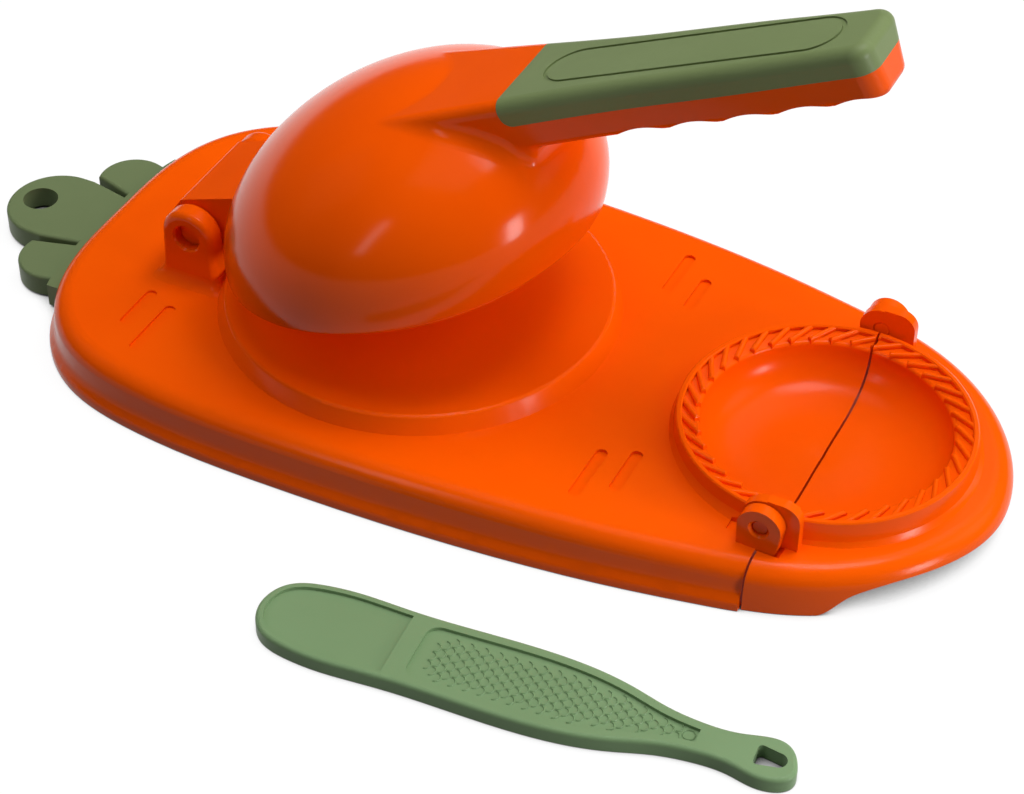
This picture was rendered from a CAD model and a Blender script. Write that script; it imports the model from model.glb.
"""Dumpling press on a plain pale floor: moulded orange shell, green grip and leaf, filling spatula."""
import logging
import math
from dataclasses import dataclass, field
from enum import Enum
from typing import Any, Dict, List, Optional, Tuple, Union

import bmesh
import bpy
from mathutils import Matrix, Vector


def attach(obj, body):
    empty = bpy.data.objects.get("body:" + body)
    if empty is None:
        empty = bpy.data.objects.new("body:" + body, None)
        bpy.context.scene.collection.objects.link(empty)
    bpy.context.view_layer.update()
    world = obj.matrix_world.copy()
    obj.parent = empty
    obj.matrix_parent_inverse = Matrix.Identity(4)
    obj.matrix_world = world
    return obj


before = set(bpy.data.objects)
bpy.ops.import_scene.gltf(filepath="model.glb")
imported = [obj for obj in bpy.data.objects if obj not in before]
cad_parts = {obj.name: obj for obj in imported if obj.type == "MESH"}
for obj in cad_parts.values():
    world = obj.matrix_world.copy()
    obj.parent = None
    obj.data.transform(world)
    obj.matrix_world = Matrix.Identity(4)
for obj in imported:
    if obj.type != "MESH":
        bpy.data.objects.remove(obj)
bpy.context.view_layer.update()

log = logging.getLogger("dumpling_press")
MM = 0.001
FULL_TURN = 2 * math.pi
HALF_TURN = math.pi
NOISE_MIDDLE = 0.5
IMAGE_WIDTH = 1024

Colour = Tuple[int, int, int]
Point = Tuple[float, float, float]


class Body(Enum):
    """The moving bodies of the press."""

    BASE = "base"
    PRESS = "press"
    NOSE = "nose"
    SPATULA = "spatula"


def linear(colour: Colour) -> Tuple[float, float, float, float]:
    """Turn a screen colour into the shader's linear one, by the sRGB curve.

    Args:
        colour: red, green and blue from 0 to 255.

    Returns:
        Linear red, green, blue and an alpha of 1.
    """
    shares = [c / 255 for c in colour]
    channels = [s / 12.92 if s <= 0.04045 else ((s + 0.055) / 1.055) ** 2.4 for s in shares]
    return channels[0], channels[1], channels[2], 1.0


@dataclass(frozen=True)
class Level:
    """One shader value that takes part in Python arithmetic."""

    shader: "Shader"
    socket: bpy.types.NodeSocket

    def _join(self, operation: str, first: "Number", second: "Number") -> "Level":
        """Return the result of a Math node on two numbers or levels."""
        made = self.shader.node("ShaderNodeMath", {"operation": operation}, {0: first, 1: second})
        return Level(self.shader, made.outputs[0])

    def __add__(self, other: "Number") -> "Level":
        """Return self + other."""
        return self._join("ADD", self, other)

    def __radd__(self, other: "Number") -> "Level":
        """Return other + self."""
        return self._join("ADD", other, self)

    def __sub__(self, other: "Number") -> "Level":
        """Return self - other."""
        return self._join("SUBTRACT", self, other)

    def __rsub__(self, other: "Number") -> "Level":
        """Return other - self."""
        return self._join("SUBTRACT", other, self)

    def __mul__(self, other: "Number") -> "Level":
        """Return self * other."""
        return self._join("MULTIPLY", self, other)

    def __rmul__(self, other: "Number") -> "Level":
        """Return other * self."""
        return self._join("MULTIPLY", other, self)


Number = Union[float, Level]


class Shader:
    """A node material or world while it is being put together."""

    def __init__(self, owner: Union[bpy.types.Material, bpy.types.World]) -> None:
        """Start an empty node tree.

        Args:
            owner: the material or world that gets the nodes.
        """
        owner.use_nodes = True
        self.tree = owner.node_tree
        self.tree.nodes.clear()

    def node(
        self,
        kind: str,
        settings: Optional[Dict[str, Any]] = None,
        inputs: Optional[Dict[Union[str, int], Any]] = None,
    ) -> bpy.types.Node:
        """Add one node.

        Args:
            kind: the node's type.
            settings: attributes set first; "stops" fills a colour ramp.
            inputs: a value, a socket or a level for each named or numbered socket.

        Returns:
            The new node.
        """
        made = self.tree.nodes.new(kind)
        for name, value in (settings or {}).items():
            if name == "stops":
                self._fill_ramp(made, value)
            else:
                setattr(made, name, value)
        for key, value in (inputs or {}).items():
            source = value.socket if isinstance(value, Level) else value
            if isinstance(source, bpy.types.NodeSocket):
                self.tree.links.new(source, made.inputs[key])
            else:
                made.inputs[key].default_value = source
        return made

    @staticmethod
    def _fill_ramp(ramp: bpy.types.Node, stops: List[Tuple[float, Tuple[float, ...]]]) -> None:
        """Set a colour ramp's stops.

        Args:
            ramp: the colour ramp node.
            stops: each stop's place and linear colour, lowest first.
        """
        elements = ramp.color_ramp.elements
        while len(elements) < len(stops):
            elements.new(1.0)
        for element, (place, colour) in zip(elements, stops):
            element.position = place
            element.color = colour

    def level(self, made: bpy.types.Node, output: Union[str, int] = 0) -> Level:
        """Return a node's output as a level."""
        return Level(self, made.outputs[output])

    def noise(self, size: float, place: bpy.types.NodeSocket, detail: float) -> Level:
        """Return noise with patches of about the given size.

        Args:
            size: the patches' size in metres.
            place: the coordinates it is read at.
            detail: how many finer layers the noise has.

        Returns:
            The noise, from about 0 to 1.
        """
        made = self.node(
            "ShaderNodeTexNoise",
            {"noise_dimensions": "3D"},
            {"Vector": place, "Scale": 1.0 / size, "Detail": detail, "Roughness": 0.55},
        )
        return self.level(made, "Fac")


@dataclass(frozen=True)
class MouldedPlastic:
    """A moulded plastic: a faint flow mottle, a skin with its own gloss, and fine handling marks."""

    name: str
    colour: Colour
    deep: Colour
    roughness: float
    gloss: float
    mottle: float = 0.03
    cloud_scale: float = 4.0
    cloud_share: float = 0.45
    tint_span: Tuple[float, float] = (0.30, 0.62)
    wear_scale: float = 0.35
    wear_spread: float = 0.10
    grain: float = 0.0006
    grain_spread: float = 0.05
    grain_depth: float = 0.02
    grain_height: float = 0.0002
    ripple: float = 0.012
    ripple_depth: float = 0.05
    ripple_height: float = 0.0006

    def material(self) -> bpy.types.Material:
        """Return the finish as a new material."""
        made = bpy.data.materials.new(self.name)
        shader = Shader(made)
        place = shader.node("ShaderNodeTexCoord").outputs["Object"]
        fine = shader.noise(self.grain, place, detail=2.0)
        surface = shader.node(
            "ShaderNodeBsdfPrincipled",
            None,
            {
                "Base Color": self._tint(shader, place),
                "Roughness": self._worn(shader, place, fine),
                "Specular IOR Level": self.gloss,
                "Normal": self._skin(shader, place, fine),
            },
        )
        shader.node("ShaderNodeOutputMaterial", None, {"Surface": surface.outputs["BSDF"]})
        return made

    def _tint(self, shader: Shader, place: bpy.types.NodeSocket) -> bpy.types.NodeSocket:
        """Mottle the colour as the melt flowed.

        Args:
            shader: the material's shader.
            place: the coordinates that the mottle is read at.

        Returns:
            The colour between the deep one and the full one.
        """
        flow = shader.noise(self.mottle, place, detail=3.0)
        cloud = shader.noise(self.mottle * self.cloud_scale, place, detail=2.0)
        patch = flow * (1.0 - self.cloud_share) + cloud * self.cloud_share
        low, high = self.tint_span
        stops = [(low, linear(self.deep)), (high, linear(self.colour))]
        ramp = shader.node("ShaderNodeValToRGB", {"stops": stops}, {"Fac": patch})
        return ramp.outputs["Color"]

    def _worn(self, shader: Shader, place: bpy.types.NodeSocket, fine: Level) -> Level:
        """Vary the roughness with handling marks and grain.

        Args:
            shader: the material's shader.
            place: the coordinates that the marks are read at.
            fine: the skin's grain.

        Returns:
            The roughness.
        """
        wear = shader.noise(self.mottle * self.wear_scale, place, detail=5.0)
        marks = (wear - NOISE_MIDDLE) * self.wear_spread
        return marks + (fine - NOISE_MIDDLE) * self.grain_spread + self.roughness

    def _skin(
        self, shader: Shader, place: bpy.types.NodeSocket, fine: Level
    ) -> bpy.types.NodeSocket:
        """Raise the long ripple of the moulding and the fine grain on it.

        Args:
            shader: the material's shader.
            place: the coordinates that the ripple is read at.
            fine: the skin's grain.

        Returns:
            The bumped normal.
        """
        swell = shader.noise(self.ripple, place, detail=1.0)
        rippled = shader.node(
            "ShaderNodeBump",
            None,
            {"Strength": self.ripple_depth, "Distance": self.ripple_height, "Height": swell},
        )
        grained = shader.node(
            "ShaderNodeBump",
            None,
            {
                "Strength": self.grain_depth,
                "Distance": self.grain_height,
                "Height": fine,
                "Normal": rippled.outputs["Normal"],
            },
        )
        return grained.outputs["Normal"]


ORANGE_SHELL = MouldedPlastic(
    "orange_shell", (251, 92, 1), (247, 87, 1), roughness=0.20, gloss=0.13
)
ORANGE_DOME = MouldedPlastic(
    "orange_dome", (249, 88, 1), (245, 84, 0), roughness=0.16, gloss=0.13
)
GREEN_SATIN = MouldedPlastic(
    "green_satin", (126, 155, 112), (121, 150, 107),
    roughness=0.42, gloss=0.20, grain_depth=0.06, ripple_depth=0.02,
)
GREEN_GRIP = MouldedPlastic(
    "green_grip", (118, 133, 88), (113, 128, 83),
    roughness=0.38, gloss=0.20, grain_depth=0.06, ripple_depth=0.02,
)
GREEN_LEAF = MouldedPlastic(
    "green_leaf", (114, 129, 90), (109, 124, 85),
    roughness=0.44, gloss=0.20, grain_depth=0.08, ripple_depth=0.03,
)


def add_object(name: str, data: bpy.types.ID) -> bpy.types.Object:
    """Put a mesh, lamp or camera into the scene.

    Args:
        name: the object's name.
        data: what the object shows.

    Returns:
        The new object.
    """
    made = bpy.data.objects.new(name, data)
    bpy.context.scene.collection.objects.link(made)
    return made


def add_mesh(name: str, shape: bmesh.types.BMesh) -> bpy.types.Object:
    """Put a finished bmesh into the scene.

    Args:
        name: the object's name.
        shape: the mesh, in place; it is freed.

    Returns:
        The new object.
    """
    mesh = bpy.data.meshes.new(name)
    shape.to_mesh(mesh)
    shape.free()
    return add_object(name, mesh)


def dress(node: str, body: Body, finish: bpy.types.Material) -> None:
    """Give a carried-over node its finish.

    Args:
        node: the node's name.
        body: the body that carries it, for the log.
        finish: its material.
    """
    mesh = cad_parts[node].data
    mesh.materials.clear()
    mesh.materials.append(finish)
    log.info("%s on %s: %s", node, body.value, finish.name)


@dataclass
class BaseAssembly:
    """The moulded base with its leaf tab and the pins pressed into its lugs."""

    body: Body = Body.BASE
    shell_nodes: Tuple[str, ...] = (
        "base_shell", "press_hinge_rod", "nose_hinge_pin_near", "nose_hinge_pin_far",
    )
    leaf_node: str = "leaf_tab"

    def build(self, shell: bpy.types.Material, leaf: bpy.types.Material) -> None:
        """Dress the base.

        Args:
            shell: the finish of the orange base and its pins.
            leaf: the finish of the leaf tab.
        """
        for node in self.shell_nodes:
            dress(node, self.body, shell)
        dress(self.leaf_node, self.body, leaf)


@dataclass
class PressAssembly:
    """The dome with its pressing plate and the handle's green grip."""

    body: Body = Body.PRESS
    dome_nodes: Tuple[str, ...] = ("press_dome", "press_plate")
    grip_node: str = "handle_grip"

    def build(self, dome: bpy.types.Material, grip: bpy.types.Material) -> None:
        """Dress the press.

        Args:
            dome: the finish of the dome and its plate.
            grip: the finish of the grip.
        """
        for node in self.dome_nodes:
            dress(node, self.body, dome)
        dress(self.grip_node, self.body, grip)


@dataclass
class NoseAssembly:
    """The folding half of the crimp mould."""

    body: Body = Body.NOSE
    node: str = "nose_mould"

    def build(self, shell: bpy.types.Material) -> None:
        """Dress the folding nose in the shell's finish."""
        dress(self.node, self.body, shell)


@dataclass
class SpatulaAssembly:
    """The filling spatula with its rows of raised scales."""

    body: Body = Body.SPATULA
    node: str = "spatula"
    scale_slot: str = "green_plastic"
    origin: Vector = field(default_factory=lambda: Vector((14.9, -121.2, 0.0)) * MM)
    turn: float = math.radians(4.3)
    floor: float = 3.6 * MM
    scale_r: float = 1.55 * MM
    ridge_width: float = 0.70 * MM
    ridge_height: float = 0.34 * MM
    sink: float = 0.12 * MM
    column_pitch: float = 2.1 * MM
    row_pitch: float = 3.3 * MM
    first_column: float = 50.6 * MM
    columns: int = 34
    rows_each_side: int = 3
    arc_steps: int = 8
    ring_at: float = 123.6 * MM
    ring_r: float = 1.7 * MM
    ring_steps: int = 16
    half_widths_mm: Tuple[Tuple[float, float], ...] = (
        (50.0, 4.6), (53.0, 7.2), (86.0, 7.4), (97.0, 6.4), (108.0, 4.2), (118.0, 2.0), (124.0, 1.2),
    )

    def place(self) -> Matrix:
        """Return the turn and move from the spatula's own frame to its place."""
        return Matrix.Translation(self.origin) @ Matrix.Rotation(self.turn, 4, "Z")

    def half_width(self, s: float) -> float:
        """Return how far from the middle a scale's centre may lie.

        Args:
            s: the distance along the spatula from its bowl's tip.

        Returns:
            The half-width of the scaled field there.
        """
        at = s / MM
        for (s0, w0), (s1, w1) in zip(self.half_widths_mm, self.half_widths_mm[1:]):
            if at <= s1:
                share = max(0.0, (at - s0) / (s1 - s0))
                return (w0 + (w1 - w0) * share) * MM
        return self.half_widths_mm[-1][1] * MM

    def ridge(
        self, shape: bmesh.types.BMesh, radius: float, start: float, sweep: float, steps: int
    ) -> List[bmesh.types.BMVert]:
        """Turn a small three-cornered ridge round an upright axis.

        Args:
            shape: the mesh that gets the ridge.
            radius: the ridge's middle radius.
            start: the angle where it begins.
            sweep: the angle that it covers.
            steps: how many faces follow the turn.

        Returns:
            The new vertices.
        """
        before = set(shape.verts)
        half = self.ridge_width / 2
        foot = self.floor - self.sink
        corners = [
            shape.verts.new((radius - half, 0.0, foot)),
            shape.verts.new((radius, 0.0, self.floor + self.ridge_height)),
            shape.verts.new((radius + half, 0.0, foot)),
        ]
        section = [shape.edges.new(pair) for pair in zip(corners, corners[1:] + corners[:1])]
        full = sweep == FULL_TURN
        turn = Matrix.Rotation(start, 3, "Z")
        bmesh.ops.rotate(shape, verts=corners, cent=(0, 0, 0), matrix=turn)
        if not full:
            bmesh.ops.contextual_create(shape, geom=section)
        bmesh.ops.spin(
            shape,
            geom=corners + section,
            cent=(0, 0, 0),
            axis=(0, 0, 1),
            angle=sweep,
            steps=steps,
            use_merge=full,
        )
        made = [v for v in shape.verts if v not in before]
        if not full:
            open_edges = [e for e in shape.edges if e.is_boundary and e.verts[0] not in before]
            bmesh.ops.holes_fill(shape, edges=open_edges, sides=len(corners))
        return made

    def scales(self) -> bmesh.types.BMesh:
        """Return staggered columns of half-round ridges, and the small ring behind them."""
        shape = bmesh.new()
        for column in range(self.columns):
            s = self.first_column + column * self.column_pitch
            reach = self.half_width(s)
            shift = self.row_pitch / 2 if column % 2 else 0.0
            for row in range(-self.rows_each_side, self.rows_each_side + 1):
                across = shift + row * self.row_pitch
                if abs(across) > reach:
                    continue
                verts = self.ridge(shape, self.scale_r, -HALF_TURN / 2, HALF_TURN, self.arc_steps)
                bmesh.ops.translate(shape, verts=verts, vec=(s, across, 0.0))
        verts = self.ridge(shape, self.ring_r, 0.0, FULL_TURN, self.ring_steps)
        bmesh.ops.translate(shape, verts=verts, vec=(self.ring_at, 0.0, 0.0))
        bmesh.ops.recalc_face_normals(shape, faces=shape.faces[:])
        bmesh.ops.transform(shape, matrix=self.place(), verts=shape.verts[:])
        return shape

    def build(self, green: bpy.types.Material) -> None:
        """Dress the spatula and add its scales.

        Args:
            green: the finish of both.
        """
        dress(self.node, self.body, green)
        piece = add_mesh("spatula_scales", self.scales())
        piece.data.materials.append(green)
        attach(piece, self.body.value)
        faces = len(piece.data.polygons)
        log.info("%s on %s: %s, %d faces", piece.name, self.body.value, green.name, faces)


@dataclass(frozen=True)
class Lamp:
    """A rectangular studio lamp; only a mirrored one shows as a highlight."""

    name: str
    place: Point
    size: Tuple[float, float]
    watts: float
    aim: Point = (0.04, 0.0, 0.03)
    mirrored: bool = False

    def build(self) -> None:
        """Hang the lamp and aim it."""
        data = bpy.data.lights.new(self.name, "AREA")
        data.shape = "RECTANGLE"
        data.size, data.size_y = self.size
        data.energy = self.watts
        lamp = add_object(self.name, data)
        lamp.visible_glossy = self.mirrored
        lamp.location = self.place
        lamp.rotation_mode = "QUATERNION"
        beam = Vector(self.aim) - Vector(self.place)
        lamp.rotation_quaternion = beam.to_track_quat("-Z", "Y")


@dataclass
class Studio:
    """Floor, soft light and the camera at the photograph's angle."""

    azimuth: float = math.radians(25.96)
    elevation: float = math.radians(41.23)
    roll: float = math.radians(0.67)
    distance: float = 0.7643
    aim: Vector = field(default_factory=lambda: Vector((0.0384, -0.00906, 0.0)))
    focal_pixels: float = 2549.91
    centre_pixels: float = 8.39
    sensor_width: float = 36.0
    clip: Tuple[float, float] = (0.01, 50.0)
    floor_half: float = 6.0
    floor_drop: float = 0.0003
    floor_grey: float = 0.10
    floor_glow: float = 0.93
    contact: float = 0.02
    contact_span: Tuple[float, float] = (0.20, 0.60)
    sky: float = 0.04
    lamps: Tuple[Lamp, ...] = (
        Lamp("overhead", (0.04, 0.0, 1.3), (0.8, 0.8), 6.4),
        Lamp("back_right", (0.244, 0.827, 0.982), (0.6, 0.6), 3.4),
        Lamp("right", (0.948, 0.56, 0.743), (0.6, 0.6), 4.2),
        Lamp("left", (-0.997, -0.137, 0.772), (0.6, 0.6), 2.3),
        Lamp("low_right", (1.21, -0.19, 0.20), (0.22, 0.42), 6.4, (0.04, 0.0, 0.05), True),
        Lamp("strip", (-0.31, -0.92, 0.70), (0.10, 0.5), 0.9, (0.02, 0.0, 0.06), True),
        Lamp("nose_glow", (0.223, 0.148, 0.79), (0.26, 0.26), 1.7, (0.16, -0.04, 0.014), True),
    )

    def build(self) -> None:
        """Build the whole studio."""
        self._floor()
        self._world()
        for lamp in self.lamps:
            lamp.build()
        self._camera()
        bpy.context.scene.view_settings.view_transform = "Standard"

    def _seen(self, shader: Shader) -> Level:
        """Tell rays that show the background from rays that light the object.

        Args:
            shader: the floor's shader.

        Returns:
            1 for a ray that shows the background, 0 for one that lights the object.
        """
        path = shader.node("ShaderNodeLightPath")
        straight = shader.level(path, "Is Camera Ray")
        mirrored = shader.level(path, "Is Glossy Ray")
        passed = shader.level(path, "Is Transmission Ray")
        return straight + mirrored + passed

    def _floor(self) -> None:
        """Lay the floor just under the object."""
        shape = bmesh.new()
        bmesh.ops.create_grid(shape, x_segments=2, y_segments=2, size=self.floor_half)
        bmesh.ops.translate(shape, verts=shape.verts[:], vec=(0.0, 0.0, -self.floor_drop))
        floor = add_mesh("floor", shape)
        floor.data.materials.append(self._floor_finish())

    def _floor_finish(self) -> bpy.types.Material:
        """Return the floor's finish: white to the camera, dark in narrow gaps, with shadows."""
        made = bpy.data.materials.new("pale_floor")
        shader = Shader(made)
        grey = (self.floor_grey, self.floor_grey, self.floor_grey, 1.0)
        matt = shader.node("ShaderNodeBsdfDiffuse", None, {"Color": grey})
        cover = shader.node("ShaderNodeAmbientOcclusion", None, {"Distance": self.contact})
        low, high = self.contact_span
        bare = shader.node("ShaderNodeMapRange", None, {0: cover.outputs["AO"], 1: low, 2: high})
        light = self._seen(shader) * self.floor_glow * shader.level(bare)
        glow = shader.node("ShaderNodeEmission", None, {"Strength": light})
        both = shader.node(
            "ShaderNodeAddShader", None, {0: matt.outputs["BSDF"], 1: glow.outputs["Emission"]}
        )
        shader.node("ShaderNodeOutputMaterial", None, {"Surface": both.outputs["Shader"]})
        return made

    def _world(self) -> None:
        """Set an even dim sky over the floor."""
        world = bpy.data.worlds.new("studio")
        bpy.context.scene.world = world
        shader = Shader(world)
        white = (1.0, 1.0, 1.0, 1.0)
        sky = shader.node("ShaderNodeBackground", None, {"Color": white, "Strength": self.sky})
        shader.node("ShaderNodeOutputWorld", None, {"Surface": sky.outputs["Background"]})

    def _camera(self) -> None:
        """Stand the camera where the photograph was taken."""
        flat = math.cos(self.elevation)
        back = Vector(
            (
                math.sin(self.azimuth) * flat,
                -math.cos(self.azimuth) * flat,
                math.sin(self.elevation),
            )
        )
        side = Vector((math.cos(self.azimuth), math.sin(self.azimuth), 0.0))
        top = back.cross(side)
        right = side * math.cos(self.roll) + top * math.sin(self.roll)
        up = top * math.cos(self.roll) - side * math.sin(self.roll)
        data = bpy.data.cameras.new("camera")
        data.sensor_width = self.sensor_width
        data.lens = self.focal_pixels / IMAGE_WIDTH * self.sensor_width
        data.shift_x = -self.centre_pixels / IMAGE_WIDTH
        data.clip_start, data.clip_end = self.clip
        camera = add_object("camera", data)
        turn = Matrix((right, up, back)).transposed().to_4x4()
        camera.matrix_world = Matrix.Translation(self.aim + back * self.distance) @ turn
        bpy.context.scene.camera = camera


def main() -> None:
    """Build the press and its studio."""
    logging.basicConfig(level=logging.INFO, format="%(message)s")
    shell = ORANGE_SHELL.material()
    dome = ORANGE_DOME.material()
    green = GREEN_SATIN.material()
    grip = GREEN_GRIP.material()
    leaf = GREEN_LEAF.material()
    BaseAssembly().build(shell, leaf)
    PressAssembly().build(dome, grip)
    NoseAssembly().build(shell)
    SpatulaAssembly().build(green)
    Studio().build()


if __name__ == "__main__":
    main()
